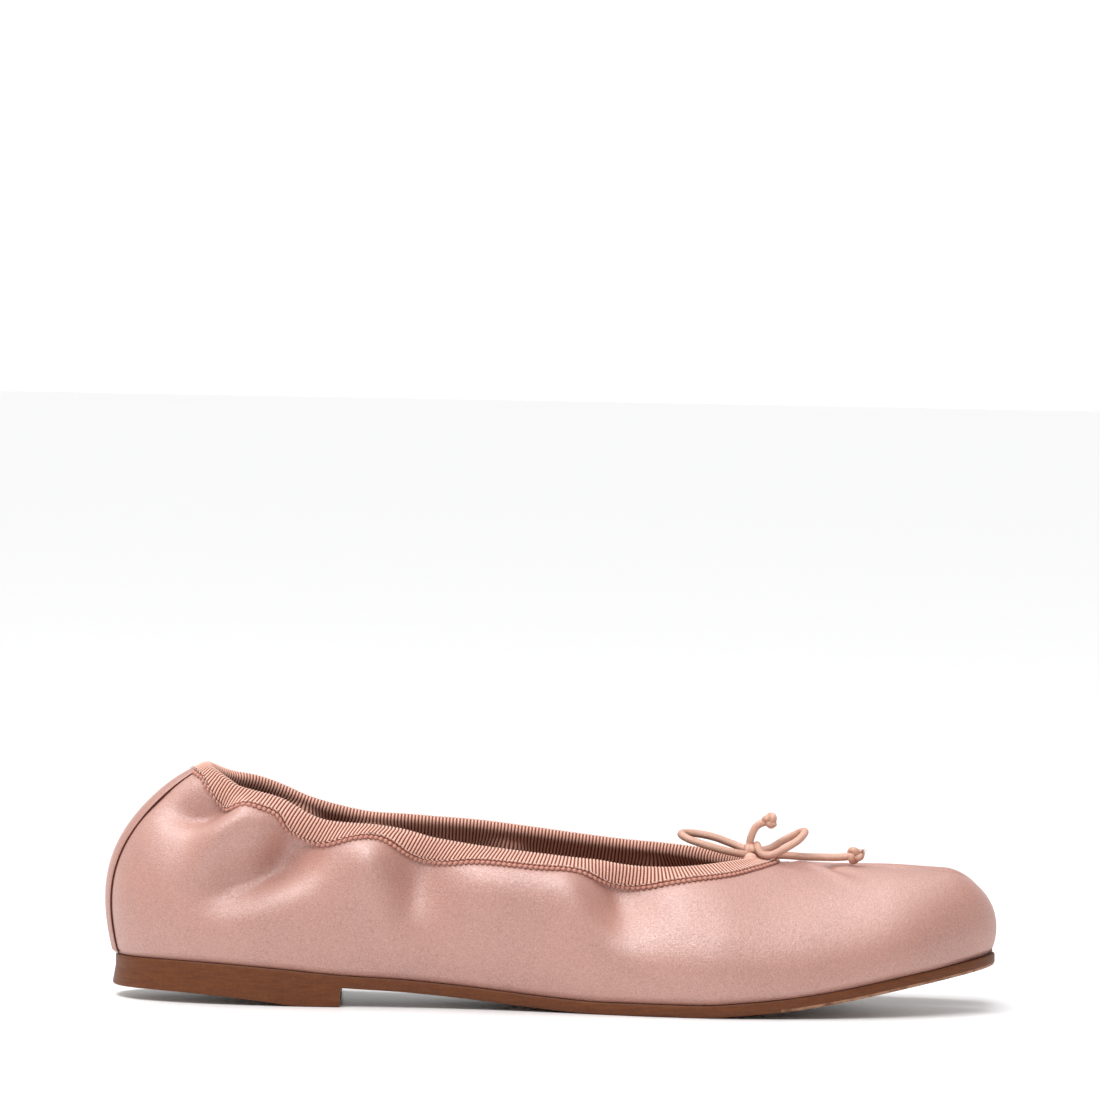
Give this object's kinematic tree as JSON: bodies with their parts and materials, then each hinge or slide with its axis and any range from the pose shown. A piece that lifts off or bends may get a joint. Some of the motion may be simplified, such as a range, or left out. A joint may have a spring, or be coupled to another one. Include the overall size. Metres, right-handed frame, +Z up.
{
  "type": "split-toe ballet flat",
  "caption": "Split-toe ballet flat, right shoe: hollow satin upper with a cleft at the big toe, gathered ribbon collar, cord bow, thin leather sole and low heel block",
  "frame": {"origin": "on the floor, under the middle of the shoe's box without the bow", "axes": "+X to the toe, +Y to the inner side of the foot, +Z up"},
  "size_m": [0.2451, 0.0796, 0.0646],
  "materials": {
    "satin": "duchesse satin with a soft sheen, dusty pink",
    "ribbon": "ribbed grosgrain, gathered over elastic",
    "sole_leather": "smooth leather with a painted, waxed edge",
    "lining_leather": "matt lining leather",
    "cord": "round braided cord"
  },
  "bodies": {
    "root": {"upper": "satin", "back_strip": "satin", "collar_ribbon": "ribbon", "outsole": "sole_leather", "heel": "sole_leather", "insole": "lining_leather", "bow_knot": "cord", "bow_loop_back": "cord", "bow_loop_front": "cord", "bow_end_up": "cord", "bow_end_front": "cord", "bow_tip_up": "cord", "bow_tip_front": "cord"}
  },
  "joints": []
}
